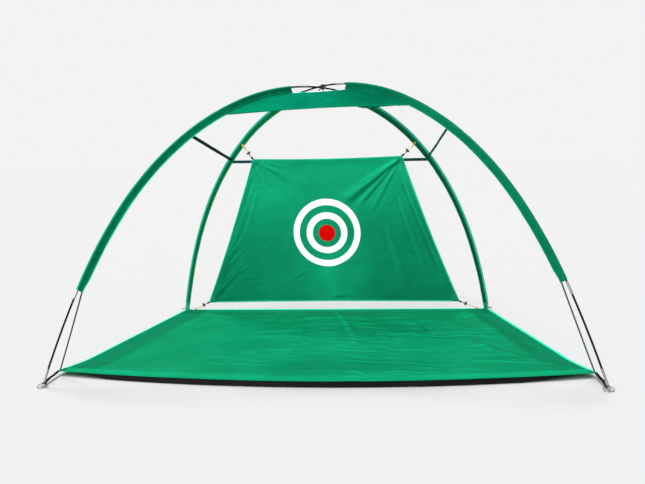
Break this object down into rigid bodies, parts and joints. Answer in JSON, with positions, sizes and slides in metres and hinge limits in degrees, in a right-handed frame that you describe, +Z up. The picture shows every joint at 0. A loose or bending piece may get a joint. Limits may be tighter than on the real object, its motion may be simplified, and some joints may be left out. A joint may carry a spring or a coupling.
{
  "type": "golf chipping net",
  "caption": "Free-standing golf chipping net: crossed arched poles in fabric sleeves carry side and back nets, a roof cloth, a floor sheet and a leaning target cloth hung on elastics.",
  "frame": {"origin": "centre of the footprint on the ground", "axes": "+X to the right seen from the mouth, +Y to the back, +Z up; the open mouth faces -Y"},
  "size_m": [3.056, 2.0349, 1.7204],
  "materials": {
    "pole_black": "smooth black glass-fibre tube",
    "ferrule_grey": "satin grey metal tube",
    "shock_cord_white": "braided elastic cord",
    "wire_steel": "bright plated wire",
    "webbing_dark": "woven dark webbing",
    "sleeve_green": "shiny green polyester, gathered",
    "roof_green": "shiny green polyester",
    "floor_green": "shiny green polyester with fine wrinkles",
    "netting_pale": "fine pale knotless mesh",
    "binding_teal": "dark teal binding",
    "target_green": "shiny green polyester with printed rings",
    "elastic_yellow": "braided yellow elastic cord",
    "lock_black": "moulded black plastic",
    "spring_steel": "spring wire"
  },
  "bodies": {
    "root": {"pole_a_rods": "pole_black", "pole_b_rods": "pole_black", "pole_a_ferrules": "ferrule_grey", "pole_b_ferrules": "ferrule_grey", "foot_ferrules": "ferrule_grey", "pole_a_shock_cord": "shock_cord_white", "pole_b_shock_cord": "shock_cord_white", "foot_pins": "wire_steel", "strap_front_left": "webbing_dark", "strap_front_right": "webbing_dark", "strap_rear_left": "webbing_dark", "strap_rear_right": "webbing_dark", "sleeve_front_left": "sleeve_green", "sleeve_front_right": "sleeve_green", "sleeve_rear_left": "sleeve_green", "sleeve_rear_right": "sleeve_green", "roof_cloth": "roof_green", "floor_sheet": "floor_green", "net_left": "netting_pale", "net_right": "netting_pale", "net_rear": "netting_pale", "tape_left": "binding_teal", "tape_right": "binding_teal", "tape_rear": "binding_teal", "edge_cord_left": "binding_teal", "edge_cord_right": "binding_teal", "crossing_tie": "webbing_dark", "elastic_tabs": "webbing_dark", "elastic_top_left": "elastic_yellow", "elastic_top_right": "elastic_yellow", "elastic_bottom_left": "elastic_yellow", "elastic_bottom_right": "elastic_yellow"},
    "target": {"target_cloth": "target_green", "target_loops": "webbing_dark"},
    "lock_top_left": {"lock_top_left": "lock_black", "spring_top_left": "spring_steel"},
    "button_top_left": {"button_top_left": "lock_black"},
    "lock_top_right": {"lock_top_right": "lock_black", "spring_top_right": "spring_steel"},
    "button_top_right": {"button_top_right": "lock_black"},
    "lock_bottom_left": {"lock_bottom_left": "lock_black", "spring_bottom_left": "spring_steel"},
    "button_bottom_left": {"button_bottom_left": "lock_black"},
    "lock_bottom_right": {"lock_bottom_right": "lock_black", "spring_bottom_right": "spring_steel"},
    "button_bottom_right": {"button_bottom_right": "lock_black"},
    "ring_front_left": {"ring_front_left": "wire_steel"},
    "ring_front_right": {"ring_front_right": "wire_steel"},
    "ring_rear_left": {"ring_rear_left": "wire_steel"},
    "ring_rear_right": {"ring_rear_right": "wire_steel"}
  },
  "joints": [
    {"name": "target_give", "type": "slide", "parent": "root", "child": "target", "axis": [0, 0.9563, 0.2923], "range_m": [-0.03, 0.018], "stiffness_N_per_m": 600, "springref_m": 0.0068, "deforming": ["elastic_top_left", "elastic_top_right", "elastic_bottom_left", "elastic_bottom_right"]},
    {"name": "lock_slide_top_left", "type": "slide", "parent": "target", "child": "lock_top_left", "axis": [-0.5801, -0.0533, 0.8128], "range_m": [0, 0.018]},
    {"name": "button_press_top_left", "type": "slide", "parent": "lock_top_left", "child": "button_top_left", "axis": [-0.8094, -0.0744, -0.5825], "range_m": [0, 0.003], "stiffness_N_per_m": 250, "springref_m": -0.004, "deforming": ["spring_top_left"]},
    {"name": "lock_slide_top_right", "type": "slide", "parent": "target", "child": "lock_top_right", "axis": [0.7375, -0.0511, 0.6735], "range_m": [0, 0.03]},
    {"name": "button_press_top_right", "type": "slide", "parent": "lock_top_right", "child": "button_top_right", "axis": [0.6719, -0.0465, -0.7392], "range_m": [0, 0.003], "stiffness_N_per_m": 250, "springref_m": -0.004, "deforming": ["spring_top_right"]},
    {"name": "lock_slide_bottom_left", "type": "slide", "parent": "target", "child": "lock_bottom_left", "axis": [-0.871, 0.1849, -0.4551], "range_m": [0, 0.034]},
    {"name": "button_press_bottom_left", "type": "slide", "parent": "lock_bottom_left", "child": "button_bottom_left", "axis": [0.4452, -0.0945, -0.8905], "range_m": [0, 0.003], "stiffness_N_per_m": 250, "springref_m": -0.004, "deforming": ["spring_bottom_left"]},
    {"name": "lock_slide_bottom_right", "type": "slide", "parent": "target", "child": "lock_bottom_right", "axis": [0.8998, 0.1642, -0.4041], "range_m": [0, 0.066]},
    {"name": "button_press_bottom_right", "type": "slide", "parent": "lock_bottom_right", "child": "button_bottom_right", "axis": [-0.3976, -0.0725, -0.9147], "range_m": [0, 0.003], "stiffness_N_per_m": 250, "springref_m": -0.004, "deforming": ["spring_bottom_right"]},
    {"name": "ring_swing_front_left", "type": "hinge", "parent": "root", "child": "ring_front_left", "pos_m": [-1.5, -0.9647, 0.014], "axis": [-1, 0, 0], "range_deg": [0, 50]},
    {"name": "ring_swing_front_right", "type": "hinge", "parent": "root", "child": "ring_front_right", "pos_m": [1.5, -0.9647, 0.014], "axis": [-1, 0, 0], "range_deg": [0, 50]},
    {"name": "ring_swing_rear_left", "type": "hinge", "parent": "root", "child": "ring_rear_left", "pos_m": [-1.18162, 0.97162, 0.01], "axis": [0.7071, 0.7071, 0], "range_deg": [0, 50]},
    {"name": "ring_swing_rear_right", "type": "hinge", "parent": "root", "child": "ring_rear_right", "pos_m": [1.18162, 0.97162, 0.01], "axis": [0.7071, -0.7071, 0], "range_deg": [0, 50]}
  ]
}
